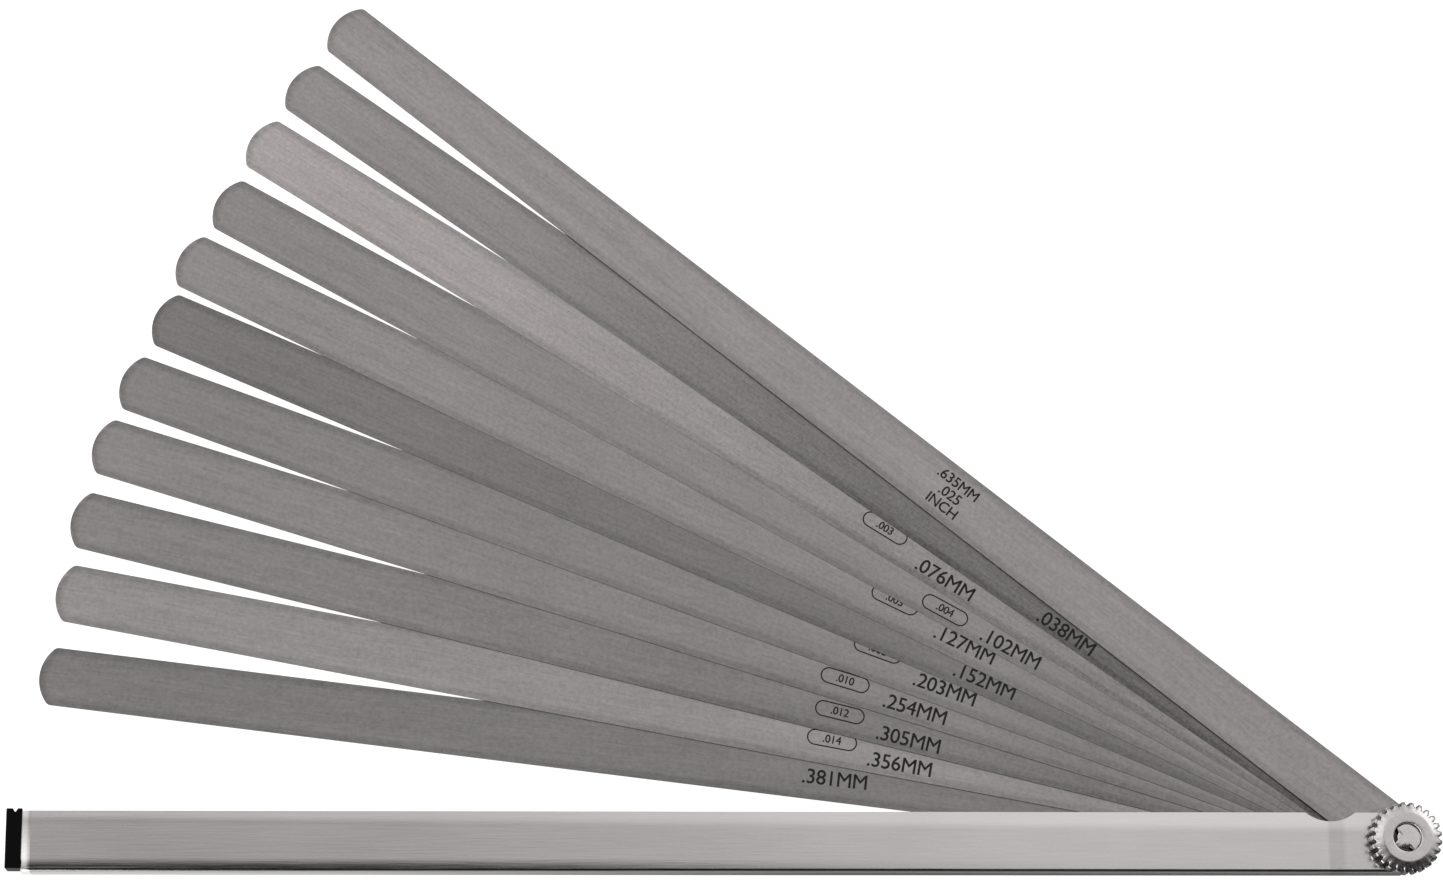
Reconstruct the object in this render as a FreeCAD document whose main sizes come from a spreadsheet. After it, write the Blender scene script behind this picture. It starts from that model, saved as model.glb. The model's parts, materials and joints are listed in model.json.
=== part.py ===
import FreeCAD, Part
import os

import Sketcher

# Long-leaf feeler gauge: eleven spring-steel leaves on one stud, in a folded sheet-steel case,
# held by a knurled lock nut.
#
# Frame, in millimetres: the stud's axis is +Z through the origin, and the outer face of the
# case's back wall is z = 0. The case runs along -X from the stud. Its spine is on the -Y side
# and its open side, where the leaves come out, is on the +Y side. The nut is on top.

VECTOR = FreeCAD.Vector
UP = VECTOR(0, 0, 1)
TOLERANCE = 1e-5

# The leaves from the front wall to the back wall: thickness, angle from the closed case, and
# reach from the stud to the tip, which differs a little because the tips are ground by hand.
LEAVES = (
    (0.635, 38.4, 299.2),
    (0.038, 35.2, 298.6),
    (0.076, 32.1, 298.4),
    (0.102, 29.0, 297.4),
    (0.127, 26.0, 298.4),
    (0.152, 23.2, 297.3),
    (0.203, 20.1, 298.4),
    (0.254, 17.1, 299.2),
    (0.305, 13.8, 298.9),
    (0.356, 10.6, 298.2),
    (0.381, 7.0, 298.4),
)

SIZES = {
    # Leaves: 12 inch blades, half an inch wide, with a full-round butt and a flatter tip.
    "leaf_width": 12.7,
    "leaf_tip_radius": 8.7,
    "leaf_corner_radius": 1.6,
    "leaf_gap": 0.014,
    # Case: a channel folded from one sheet.
    "sheet": 0.6,
    "case_reach": 298.4,
    "case_open_edge": 6.1,
    "case_spine": 7.1,
    "bend_outer": 0.95,
    "bend_inner": 0.12,
    # Thumb notch in the front wall's open edge.
    "notch_place": 15.7,
    "notch_width": 11.0,
    "notch_depth": 1.95,
    # Stud: riveted flush into the back wall, a plain shoulder in the leaves, then a thread of
    # 0.7 mm pitch whose end is staked over.
    "stud_radius": 2.5,
    "stud_neck_radius": 2.0,
    "thread_radius": 2.0,
    "rivet_radius": 3.4,
    "rivet_depth": 0.5,
    "stake_radius": 2.4,
    "stake_height": 0.55,
    "running_clearance": 0.05,
    "washer_clearance": 0.1,
    "stack_clearance": 0.01,
    # Spacer washers on the shoulder, one on each side of the leaves.
    "spacer_radius": 5.5,
    "spacer_height": 0.7,
    # Washer and knurled nut.
    "washer_radius": 6.0,
    "washer_height": 0.5,
    "nut_radius": 7.8,
    "nut_face_radius": 5.3,
    "nut_bevel_height": 0.95,
    "nut_height": 4.6,
    "nut_base_chamfer": 0.35,
    "nut_dish_radius": 3.9,
    "nut_dish_depth": 0.4,
    "nut_recess_radius": 3.1,
    "nut_recess_depth": 1.9,
    "nut_travel": 0.7,
    "knurl_radius": 0.55,
    "knurl_depth": 0.75,
    # Moulded end cap: level with the case's walls, narrower than its spine, hollow for the
    # leaves' tips, with two lips that are pressed in along the walls.
    "cap_end": 301.8,
    "cap_hollow_end": 300.7,
    "cap_lip_end": 294.5,
    "cap_lip": 0.55,
    "cap_fit": 0.02,
    "cap_lip_inset": 0.3,
    "cap_open_edge": 6.6,
    "cap_spine": 6.3,
    "cap_bend": 0.3,
    "cap_groove_place": 299.9,
    "cap_groove_width": 1.1,
    "cap_groove_depth": 0.9,
}
KNURL_TEETH = 25

# Levels up the stud, each an expression in the sheet's own words.
PACK = " + ".join(f"Sizes.thickness_{n}" for n in range(1, len(LEAVES) + 1))
BACK_SPACER_BASE = "Sizes.sheet + Sizes.leaf_gap"
PACK_BASE = f"{BACK_SPACER_BASE} + Sizes.spacer_height + Sizes.leaf_gap"
FRONT_SPACER_BASE = f"{PACK_BASE} + {PACK} + {len(LEAVES)} * Sizes.leaf_gap"
FRONT_INNER = f"{FRONT_SPACER_BASE} + Sizes.spacer_height + Sizes.leaf_gap"
FRONT_OUTER = f"{FRONT_INNER} + Sizes.sheet"
SHOULDER_TOP = f"{FRONT_INNER} + Sizes.sheet / 2"
WASHER_BASE = f"{FRONT_OUTER} + Sizes.stack_clearance"
NUT_BASE = f"{WASHER_BASE} + Sizes.washer_height + Sizes.stack_clearance"
RECESS_FLOOR = f"{NUT_BASE} + Sizes.nut_height - Sizes.nut_recess_depth"
STAKE_BASE = f"{RECESS_FLOOR} + Sizes.nut_travel + Sizes.stack_clearance"
STAKE_TOP = f"{STAKE_BASE} + Sizes.stake_height"

# How far short of its tip a leaf's straight sides end.
TIP_DEPTH = "Sizes.leaf_tip_radius - sqrt(Sizes.leaf_tip_radius^2 - (Sizes.leaf_width / 2)^2)"

doc = FreeCAD.newDocument("feeler_gauge")
sheet = doc.addObject("Spreadsheet::Sheet", "Sizes")


def fill_sheet():
    """Write every driving size into the sheet: its name, its value and its alias."""
    rows = dict(SIZES)
    for number, (thickness, angle, reach) in enumerate(LEAVES, start=1):
        rows[f"thickness_{number}"] = thickness
        rows[f"angle_{number}"] = angle
        rows[f"reach_{number}"] = reach
    for row, (name, value) in enumerate(rows.items(), start=1):
        sheet.set(f"A{row}", name)
        sheet.set(f"B{row}", str(value))
        sheet.setAlias(f"B{row}", name)
    doc.recompute()


def value(expression):
    """The number that an expression in the sheet's words has now."""
    result = sheet.evalExpression(expression)
    return float(getattr(result, "Value", result))


def new_body(label):
    """A body for one physical piece, named after it."""
    body = doc.addObject("PartDesign::Body", label)
    body.Label = label
    return body


def new_sketch(body, name, role="XY_Plane", level=None):
    """A sketch on one of the body's own origin planes, raised to a level if one is given."""
    sketch = body.newObject("Sketcher::SketchObject", name)
    plane = next(item for item in body.Origin.OriginFeatures if item.Role == role)
    sketch.AttachmentSupport = [(plane, "")]
    sketch.MapMode = "FlatFace"
    if level is not None:
        sketch.setExpression("AttachmentOffset.Base.z", f"({level}) * 1 mm")
    return sketch


def bind(sketch, kind, references, expression, name):
    """Add a dimension to a sketch and bind it to the sheet."""
    index = sketch.addConstraint(Sketcher.Constraint(kind, *references, value(expression)))
    sketch.renameConstraint(index, name)
    sketch.setExpression(f"Constraints.{name}", expression)


def pin(sketch, item, end, across, along, name):
    """Hold a point at (across, along) from the sketch's origin, each an expression."""
    for kind, axis, expression in (("DistanceX", -2, across), ("DistanceY", -1, along)):
        if expression == "0":
            sketch.addConstraint(Sketcher.Constraint("PointOnObject", item, end, axis))
        else:
            bind(sketch, kind, (-1, 1, item, end), expression, f"{name}_{kind[-1].lower()}")


def polygon(sketch, corners):
    """A closed polygon whose corners are pairs of expressions."""
    points = [VECTOR(value(across), value(along), 0) for across, along in corners]
    count = len(points)
    for index in range(count):
        sketch.addGeometry(Part.LineSegment(points[index], points[(index + 1) % count]), False)
    for index, (across, along) in enumerate(corners):
        before = (index - 1) % count
        sketch.addConstraint(Sketcher.Constraint("Coincident", before, 2, index, 1))
        pin(sketch, index, 1, across, along, f"corner{index}")


def rectangle(sketch, left, right, bottom, top):
    """A rectangle between four expressions."""
    polygon(sketch, [(left, bottom), (right, bottom), (right, top), (left, top)])


def circle(sketch, radius, across="0", along="0"):
    """A circle with its centre at a pair of expressions."""
    centre = VECTOR(value(across), value(along), 0)
    item = sketch.addGeometry(Part.Circle(centre, UP, value(radius)), False)
    pin(sketch, item, 3, across, along, "centre")
    bind(sketch, "Radius", (item,), radius, "ring")


def add_feature(body, kind, name, sketch, length=None, through=False):
    """A Pad or a Pocket of a sketch; a Pocket cuts down from its sketch."""
    feature = body.newObject(f"PartDesign::{kind}", name)
    feature.Profile = sketch
    if through:
        feature.Type = "ThroughAll"
    else:
        feature.setExpression("Length", length)
    doc.recompute()
    return feature


def turn_profile(body, kind, name, corners):
    """A Revolution or a Groove about Z of a polygon of (radius, height) expressions."""
    sketch = new_sketch(body, f"{name}_profile", "XZ_Plane")
    polygon(sketch, corners)
    feature = body.newObject(f"PartDesign::{kind}", name)
    feature.Profile = sketch
    feature.ReferenceAxis = (sketch, ["V_Axis"])
    feature.Angle = 360
    doc.recompute()
    return feature


def edges_where(shape, test):
    """Names of a shape's edges that pass a test."""
    return [f"Edge{n}" for n, edge in enumerate(shape.Edges, start=1) if test(edge)]


def add_fillet(body, name, base, radius, test):
    """Round the edges of a feature that pass a test."""
    fillet = body.newObject("PartDesign::Fillet", name)
    fillet.Base = (base, edges_where(base.Shape, test))
    fillet.setExpression("Radius", radius)
    doc.recompute()
    return fillet


def runs_along_x(edge, side):
    """Whether an edge is a straight one, parallel to X, at y = side."""
    ends = [vertex.Point for vertex in edge.Vertexes]
    return len(ends) == 2 and all(
        abs(end.y - side) < TOLERANCE and abs(end.z - ends[0].z) < TOLERANCE for end in ends
    )


def is_tip_corner(edge, corner):
    """Whether an edge is one of the two upright ones at a leaf's tip, at x = -corner."""
    ends = [vertex.Point for vertex in edge.Vertexes]
    return len(ends) == 2 and all(abs(end.x + corner) < TOLERANCE for end in ends) and (
        abs(ends[0].y - ends[1].y) < TOLERANCE
    )


def make_case():
    """The folded channel: back wall, spine and front wall, with round ends about the stud."""
    body = new_body("case")
    section = new_sketch(body, "case_outline")
    rectangle(section, "-Sizes.case_reach", "0", "-Sizes.case_spine", "Sizes.case_open_edge")
    block = add_feature(body, "Pad", "case_block", section, FRONT_OUTER)
    spine = -value("Sizes.case_spine")
    add_fillet(
        body, "outer_bends", block, "Sizes.bend_outer", lambda edge: runs_along_x(edge, spine)
    )
    inner_spine = "-Sizes.case_spine + Sizes.sheet"
    channel = new_sketch(body, "channel_section", "YZ_Plane")
    rectangle(channel, inner_spine, "Sizes.case_open_edge + 1", "Sizes.sheet", FRONT_INNER)
    hollow = add_feature(body, "Pocket", "channel", channel, through=True)
    inner_side = value(inner_spine)
    add_fillet(
        body, "inner_bends", hollow, "Sizes.bend_inner", lambda edge: runs_along_x(edge, inner_side)
    )
    for name, level in (("back_end", "0"), ("front_end", FRONT_INNER)):
        disc = new_sketch(body, f"{name}_disc", level=level)
        circle(disc, "Sizes.case_open_edge")
        add_feature(body, "Pad", name, disc, "Sizes.sheet")
    half = "Sizes.notch_width / 2"
    arc = f"(({half})^2 + Sizes.notch_depth^2) / (2 * Sizes.notch_depth)"
    notch = new_sketch(body, "thumb_notch_arc", level=FRONT_OUTER)
    height = f"Sizes.case_open_edge - Sizes.notch_depth + {arc}"
    circle(notch, arc, "-Sizes.notch_place", height)
    add_feature(body, "Pocket", "thumb_notch", notch, "Sizes.sheet * 2")
    bore = new_sketch(body, "front_bore_circle", level=FRONT_OUTER)
    circle(bore, "Sizes.stud_radius + Sizes.washer_clearance")
    add_feature(body, "Pocket", "front_bore", bore, "Sizes.sheet * 2")
    turn_profile(body, "Groove", "rivet_seat", rivet_corners("Sizes.sheet"))
    return body


def rivet_corners(top):
    """The flush rivet's half section: its cone in the back wall and its neck up to a level."""
    return [
        ("0", "0"),
        ("Sizes.rivet_radius", "0"),
        ("Sizes.stud_neck_radius", "Sizes.rivet_depth"),
        ("Sizes.stud_neck_radius", top),
        ("0", top),
    ]


def make_stud():
    """The stud: flush rivet head, neck, shoulder, thread, and the end staked over the nut."""
    body = new_body("pivot_stud")
    corners = rivet_corners("Sizes.sheet")[:-1] + [
        ("Sizes.stud_radius", "Sizes.sheet"),
        ("Sizes.stud_radius", SHOULDER_TOP),
        ("Sizes.thread_radius", SHOULDER_TOP),
        ("Sizes.thread_radius", STAKE_BASE),
        ("Sizes.stake_radius", f"{STAKE_BASE} + 0.1"),
        ("Sizes.stake_radius", f"{STAKE_TOP} - 0.15"),
        ("Sizes.stake_radius - 0.25", STAKE_TOP),
        ("0", STAKE_TOP),
    ]
    turn_profile(body, "Revolution", "stud_turning", corners)
    return body


def make_ring(label, bore, radius, base, height):
    """A flat ring about the stud: the washer under the nut, or a spacer beside the leaves."""
    body = new_body(label)
    top = f"{base} + {height}"
    corners = [(bore, base), (radius, base), (radius, top), (bore, top)]
    turn_profile(body, "Revolution", f"{label}_turning", corners)
    return body


def make_rings():
    """The two spacers on the stud's shoulder and the washer on its thread."""
    shoulder_bore = "Sizes.stud_radius + Sizes.running_clearance"
    thread_bore = "Sizes.thread_radius + Sizes.washer_clearance"
    spacer = ("Sizes.spacer_radius", "Sizes.spacer_height")
    return [
        make_ring("back_spacer", shoulder_bore, spacer[0], BACK_SPACER_BASE, spacer[1]),
        make_ring("front_spacer", shoulder_bore, spacer[0], FRONT_SPACER_BASE, spacer[1]),
        make_ring(
            "clamp_washer", thread_bore, "Sizes.washer_radius", WASHER_BASE,
            "Sizes.washer_height",
        ),
    ]


def make_nut():
    """The lock nut: straight-knurled rim, bevel up to a dished face, and a recess for the stake."""
    body = new_body("knurled_nut")
    bore = "Sizes.thread_radius + Sizes.running_clearance"
    face = f"{NUT_BASE} + Sizes.nut_height"
    dish = f"{face} - Sizes.nut_dish_depth"
    shoulder = f"{face} - Sizes.nut_bevel_height"
    corners = [
        (bore, NUT_BASE),
        ("Sizes.nut_radius - Sizes.nut_base_chamfer", NUT_BASE),
        ("Sizes.nut_radius", f"{NUT_BASE} + Sizes.nut_base_chamfer"),
        ("Sizes.nut_radius", shoulder),
        ("Sizes.nut_face_radius", face),
        ("Sizes.nut_dish_radius", face),
        ("Sizes.nut_dish_radius - 0.3", dish),
        ("Sizes.nut_recess_radius", dish),
        ("Sizes.nut_recess_radius", RECESS_FLOOR),
        (bore, RECESS_FLOOR),
    ]
    turn_profile(body, "Revolution", "nut_turning", corners)
    flute = new_sketch(body, "knurl_flute_outline", level=f"{face} + 1")
    circle(flute, "Sizes.knurl_radius", "Sizes.nut_radius - Sizes.knurl_depth + Sizes.knurl_radius")
    cut = add_feature(body, "Pocket", "knurl_flute", flute, through=True)
    knurl = body.newObject("PartDesign::PolarPattern", "knurl")
    knurl.Originals = [cut]
    knurl.Axis = (flute, ["N_Axis"])
    knurl.Angle = 360
    knurl.Occurrences = KNURL_TEETH
    body.Tip = knurl
    doc.recompute()
    return body


def make_end_cap():
    """The moulded cap that closes the far end of the case."""
    body = new_body("end_cap")
    mouth = "-Sizes.case_reach - Sizes.cap_fit"
    outline = new_sketch(body, "cap_outline")
    rectangle(outline, "-Sizes.cap_end", mouth, "-Sizes.cap_spine", "Sizes.cap_open_edge")
    block = add_feature(body, "Pad", "cap_block", outline, FRONT_OUTER)
    spine = -value("Sizes.cap_spine")
    add_fillet(
        body, "cap_bends", block, "Sizes.cap_bend", lambda edge: runs_along_x(edge, spine)
    )
    inner_spine = "-Sizes.cap_spine + Sizes.sheet"
    hollow = new_sketch(body, "cap_hollow_outline", level=f"{FRONT_INNER} - Sizes.cap_lip")
    rectangle(
        hollow, "-Sizes.cap_hollow_end", f"{mouth} + 1", inner_spine, "Sizes.cap_open_edge + 1"
    )
    depth = f"{FRONT_INNER} - Sizes.sheet - 2 * Sizes.cap_lip"
    add_feature(body, "Pocket", "cap_hollow", hollow, depth)
    lips = (
        ("back_lip", "Sizes.sheet + Sizes.cap_fit"),
        ("front_lip", f"{FRONT_INNER} - Sizes.cap_lip"),
    )
    for name, level in lips:
        lip = new_sketch(body, f"{name}_outline", level=level)
        rectangle(
            lip, f"{mouth} - 0.5", "-Sizes.cap_lip_end", f"{inner_spine} + Sizes.cap_lip_inset",
            "Sizes.case_open_edge - Sizes.cap_lip_inset",
        )
        add_feature(body, "Pad", name, lip, "Sizes.cap_lip - Sizes.cap_fit")
    groove = new_sketch(body, "cap_groove_outline", level=f"{FRONT_OUTER} + 1")
    half = "Sizes.cap_groove_width / 2"
    polygon(
        groove,
        [
            ("-Sizes.cap_groove_place", "Sizes.cap_open_edge - Sizes.cap_groove_depth"),
            (f"-Sizes.cap_groove_place + {half}", "Sizes.cap_open_edge + 0.01"),
            (f"-Sizes.cap_groove_place - {half}", "Sizes.cap_open_edge + 0.01"),
        ],
    )
    add_feature(body, "Pocket", "cap_groove", groove, through=True)
    return body


def leaf_outline(sketch, reach):
    """A leaf's outline: round butt about the stud, parallel sides and a flatter round tip."""
    half = value("Sizes.leaf_width") / 2
    length = value(reach)
    corner = value(f"{reach} - ({TIP_DEPTH})")
    lower = sketch.addGeometry(Part.LineSegment(VECTOR(0, -half, 0), VECTOR(-corner, -half, 0)))
    tip_points = (VECTOR(-corner, -half, 0), VECTOR(-length, 0, 0), VECTOR(-corner, half, 0))
    tip_arc = sketch.addGeometry(Part.Arc(*tip_points))
    upper = sketch.addGeometry(Part.LineSegment(VECTOR(-corner, half, 0), VECTOR(0, half, 0)))
    butt_points = (VECTOR(0, half, 0), VECTOR(half, 0, 0), VECTOR(0, -half, 0))
    butt = sketch.addGeometry(Part.Arc(*butt_points))
    # A three-point arc is stored counter-clockwise, so its start may be either end.
    joined = ((lower, 2, tip_arc), (upper, 1, tip_arc), (upper, 2, butt), (lower, 1, butt))
    for line, end, arc in joined:
        point = sketch.getPoint(line, end)
        near = min((1, 2), key=lambda side: sketch.getPoint(arc, side).distanceToPoint(point))
        sketch.addConstraint(Sketcher.Constraint("Coincident", line, end, arc, near))
    sketch.addConstraint(Sketcher.Constraint("Coincident", butt, 3, -1, 1))
    sketch.addConstraint(Sketcher.Constraint("PointOnObject", lower, 1, -2))
    sketch.addConstraint(Sketcher.Constraint("PointOnObject", upper, 2, -2))
    sketch.addConstraint(Sketcher.Constraint("PointOnObject", tip_arc, 3, -1))
    sketch.addConstraint(Sketcher.Constraint("Horizontal", lower))
    sketch.addConstraint(Sketcher.Constraint("Horizontal", upper))
    bind(sketch, "Radius", (butt,), "Sizes.leaf_width / 2", "butt_radius")
    bind(sketch, "Radius", (tip_arc,), "Sizes.leaf_tip_radius", "tip_radius")
    centre = f"-({reach} - Sizes.leaf_tip_radius)"
    bind(sketch, "DistanceX", (-1, 1, tip_arc, 3), centre, "tip_centre")


def make_leaf(number):
    """One leaf, at its own height in the pack and turned out to its own angle."""
    microns = round(LEAVES[number - 1][0] * 1000)
    body = new_body(f"leaf_{number:02d}_{microns:03d}")
    outline = new_sketch(body, f"{body.Name}_outline")
    reach = f"Sizes.reach_{number}"
    leaf_outline(outline, reach)
    blade = add_feature(body, "Pad", f"{body.Name}_blade", outline, f"Sizes.thickness_{number}")
    corner = value(f"{reach} - ({TIP_DEPTH})")
    add_fillet(
        body, f"{body.Name}_tip_corners", blade, "Sizes.leaf_corner_radius",
        lambda edge: is_tip_corner(edge, corner),
    )
    bore = new_sketch(body, f"{body.Name}_bore_circle", level=f"Sizes.thickness_{number}")
    circle(bore, "Sizes.stud_radius + Sizes.running_clearance")
    add_feature(body, "Pocket", f"{body.Name}_bore", bore, through=True)
    below = "".join(f" + Sizes.thickness_{n}" for n in range(number + 1, len(LEAVES) + 1))
    gaps = len(LEAVES) - number
    body.setExpression(
        ".Placement.Base.z", f"({PACK_BASE}{below} + {gaps} * Sizes.leaf_gap) * 1 mm"
    )
    body.setExpression(".Placement.Rotation.Angle", f"-Sizes.angle_{number} * 1 deg")
    return body


def check(bodies):
    """Stop if any feature failed, changed nothing, or left a shape that isn't one sound solid."""
    for item in doc.Objects:
        if {"Invalid", "Error"} & set(item.State):
            raise RuntimeError(f"{item.Label} failed: {item.State}")
    for body in bodies:
        before = 0.0
        for feature in body.Group:
            if not feature.isDerivedFrom("PartDesign::Feature"):
                continue
            volume = feature.Shape.Volume
            if abs(volume - before) < TOLERANCE:
                raise RuntimeError(f"{feature.Label} changed nothing")
            before = volume
        shape = body.Shape
        if shape.isNull() or not shape.isValid() or len(shape.Solids) != 1:
            raise RuntimeError(f"{body.Label} isn't one sound solid")


def main():
    fill_sheet()
    bodies = [make_case(), make_end_cap(), make_stud(), *make_rings(), make_nut()]
    bodies += [make_leaf(number) for number in range(1, len(LEAVES) + 1)]
    doc.recompute()
    check(bodies)
    os.makedirs("parts", exist_ok=True)
    for body in bodies:
        body.Shape.exportStep(f"parts/{body.Label}.step")
        box = body.Shape.BoundBox
        print(
            f"{body.Label:16s} {body.Shape.Volume:9.2f} mm3"
            f"  x {box.XMin:8.2f} {box.XMax:8.2f}  y {box.YMin:7.2f} {box.YMax:7.2f}"
            f"  z {box.ZMin:6.3f} {box.ZMax:6.3f}"
        )


main()
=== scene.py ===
import json
import math

import bmesh
import bpy
from mathutils import Matrix, Vector


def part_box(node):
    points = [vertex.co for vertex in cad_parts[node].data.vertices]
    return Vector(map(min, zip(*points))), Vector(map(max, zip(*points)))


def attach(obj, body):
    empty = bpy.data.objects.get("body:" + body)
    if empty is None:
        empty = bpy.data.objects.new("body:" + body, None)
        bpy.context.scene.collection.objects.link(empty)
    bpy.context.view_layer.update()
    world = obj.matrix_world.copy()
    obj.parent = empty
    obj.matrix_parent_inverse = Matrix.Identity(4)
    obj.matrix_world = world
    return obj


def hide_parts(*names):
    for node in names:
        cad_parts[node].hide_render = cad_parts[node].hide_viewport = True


# A long-leaf feeler gauge: eleven etched steel leaves fanned out of a folded steel case about
# a stud with a knurled lock nut. Pieces are built in millimetres and brought to metres once.

MM = 0.001
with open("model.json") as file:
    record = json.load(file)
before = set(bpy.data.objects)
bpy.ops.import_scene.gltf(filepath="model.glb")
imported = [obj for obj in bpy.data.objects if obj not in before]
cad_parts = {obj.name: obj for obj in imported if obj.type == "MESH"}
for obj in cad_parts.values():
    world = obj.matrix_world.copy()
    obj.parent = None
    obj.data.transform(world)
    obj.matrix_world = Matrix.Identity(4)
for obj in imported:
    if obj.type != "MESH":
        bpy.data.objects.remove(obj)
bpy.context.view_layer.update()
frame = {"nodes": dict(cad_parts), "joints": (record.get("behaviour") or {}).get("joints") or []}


def low_high(node):
    """A CAD node's lowest and highest corner, in millimetres."""
    low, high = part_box(node)
    return low / MM, high / MM


# ---------------------------------------------------------------- camera

CAMERA_TARGET = Vector((-147.74, 88.52, 2.0)) * MM
CAMERA_DISTANCE = 898.3 * MM
CAMERA_ELEVATION = math.radians(75.86)
CAMERA_AZIMUTH = math.radians(-12.0)
CAMERA_ROLL = math.radians(12.0)
CAMERA_LENS = 101.05


def add_camera():
    """The camera, which looks down on the open gauge from the case's side."""
    data = bpy.data.cameras.new("view")
    data.lens = CAMERA_LENS
    data.sensor_fit = "HORIZONTAL"
    data.sensor_width = 36.0
    data.clip_start = 0.01
    camera = bpy.data.objects.new("view", data)
    bpy.context.scene.collection.objects.link(camera)
    flat = math.cos(CAMERA_ELEVATION)
    back = Vector((
        math.sin(CAMERA_AZIMUTH) * flat,
        -math.cos(CAMERA_AZIMUTH) * flat,
        math.sin(CAMERA_ELEVATION),
    ))
    level = Vector((math.cos(CAMERA_AZIMUTH), math.sin(CAMERA_AZIMUTH), 0.0))
    upright = back.cross(level)
    right = level * math.cos(CAMERA_ROLL) + upright * math.sin(CAMERA_ROLL)
    turn = Matrix((right, back.cross(right), back)).transposed()
    place = CAMERA_TARGET + back * CAMERA_DISTANCE
    camera.matrix_world = Matrix.Translation(place) @ turn.to_4x4()
    bpy.context.scene.camera = camera


# ---------------------------------------------------------------- materials

class Nodes:
    """A material's node tree, with short ways to add and join nodes."""

    def __init__(self, name):
        self.material = bpy.data.materials.new(name)
        self.material.use_nodes = True
        self.tree = self.material.node_tree
        self.tree.nodes.clear()
        self.output = self.tree.nodes.new("ShaderNodeOutputMaterial")
        self.shader = self.tree.nodes.new("ShaderNodeBsdfPrincipled")
        self.tree.links.new(self.shader.outputs["BSDF"], self.output.inputs["Surface"])

    def add(self, kind, **settings):
        node = self.tree.nodes.new("ShaderNode" + kind)
        for key, setting in settings.items():
            if key in node.inputs:
                node.inputs[key].default_value = setting
            else:
                setattr(node, key, setting)
        return node

    def join(self, source, target, key, out=0):
        outlet = source.outputs[out] if hasattr(source, "outputs") else source
        self.tree.links.new(outlet, target.inputs[key])

    def math(self, kind, first, second=0.0):
        node = self.tree.nodes.new("ShaderNodeMath")
        node.operation = kind
        for index, item in enumerate((first, second)):
            if isinstance(item, (int, float)):
                node.inputs[index].default_value = item
            else:
                self.join(item, node, index)
        return node

    def scaled(self, value, factor, offset):
        """A value times a factor, plus an offset."""
        node = self.math("MULTIPLY_ADD", value, factor)
        node.inputs[2].default_value = offset
        return node

    def layered(self, tone, *layers):
        """A tone with layers added, each a value and its weight."""
        for value, weight in layers:
            tone = self.math("ADD", tone, self.math("MULTIPLY", value, weight))
        return tone

    def stretched_noise(self, coordinates, stretch, scale, detail=3.0, rough=0.55):
        """Noise in the piece's own space, in millimetres, drawn out along an axis."""
        mapping = self.add("Mapping")
        mapping.inputs["Scale"].default_value = [s / MM for s in stretch]
        self.join(coordinates, mapping, "Vector", out="Object")
        noise = self.add("TexNoise")
        noise.inputs["Scale"].default_value = scale
        noise.inputs["Detail"].default_value = detail
        noise.inputs["Roughness"].default_value = rough
        self.join(mapping, noise, "Vector")
        return noise

    def ranged(self, value, start, end, low, high, kind="LINEAR"):
        """A value brought from one range to another."""
        node = self.add("MapRange", interpolation_type=kind)
        node.inputs["From Min"].default_value = start
        node.inputs["From Max"].default_value = end
        node.inputs["To Min"].default_value = low
        node.inputs["To Max"].default_value = high
        self.join(value, node, "Value")
        return node

    def eased(self, value, start, end, low, high):
        """A value brought from one range to another with a soft start and end."""
        return self.ranged(value, start, end, low, high, "SMOOTHSTEP")

    def spread(self, noise, low, high):
        """Noise brought to a range about its middle."""
        return self.ranged(noise, 0.3, 0.7, low, high)

    def tinted(self, tint, factor):
        """A tint times a factor, as the base colour."""
        scale = self.add("VectorMath", operation="SCALE")
        scale.inputs[0].default_value = tint
        self.join(factor, scale, "Scale")
        self.join(scale, self.shader, "Base Color")

    def bump(self, height, distance, strength):
        node = self.add("Bump")
        node.inputs["Strength"].default_value = strength
        node.inputs["Distance"].default_value = distance
        self.join(height, node, "Height")
        self.join(node, self.shader, "Normal")


# Steel's faint warm cast, red against green against blue.
WARM = (1.045, 1.0, 0.99)


def linear(level):
    """A display grey level from 0 to 255 as a linear value."""
    share = level / 255.0
    return share / 12.92 if share <= 0.04045 else ((share + 0.055) / 1.055) ** 2.4


def warm(level, warmth=0.0):
    """A linear grey with steel's faint warm cast, and a little more of it if asked."""
    return (level * (WARM[0] + warmth), level * WARM[1], level * (WARM[2] - warmth / 3))


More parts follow.
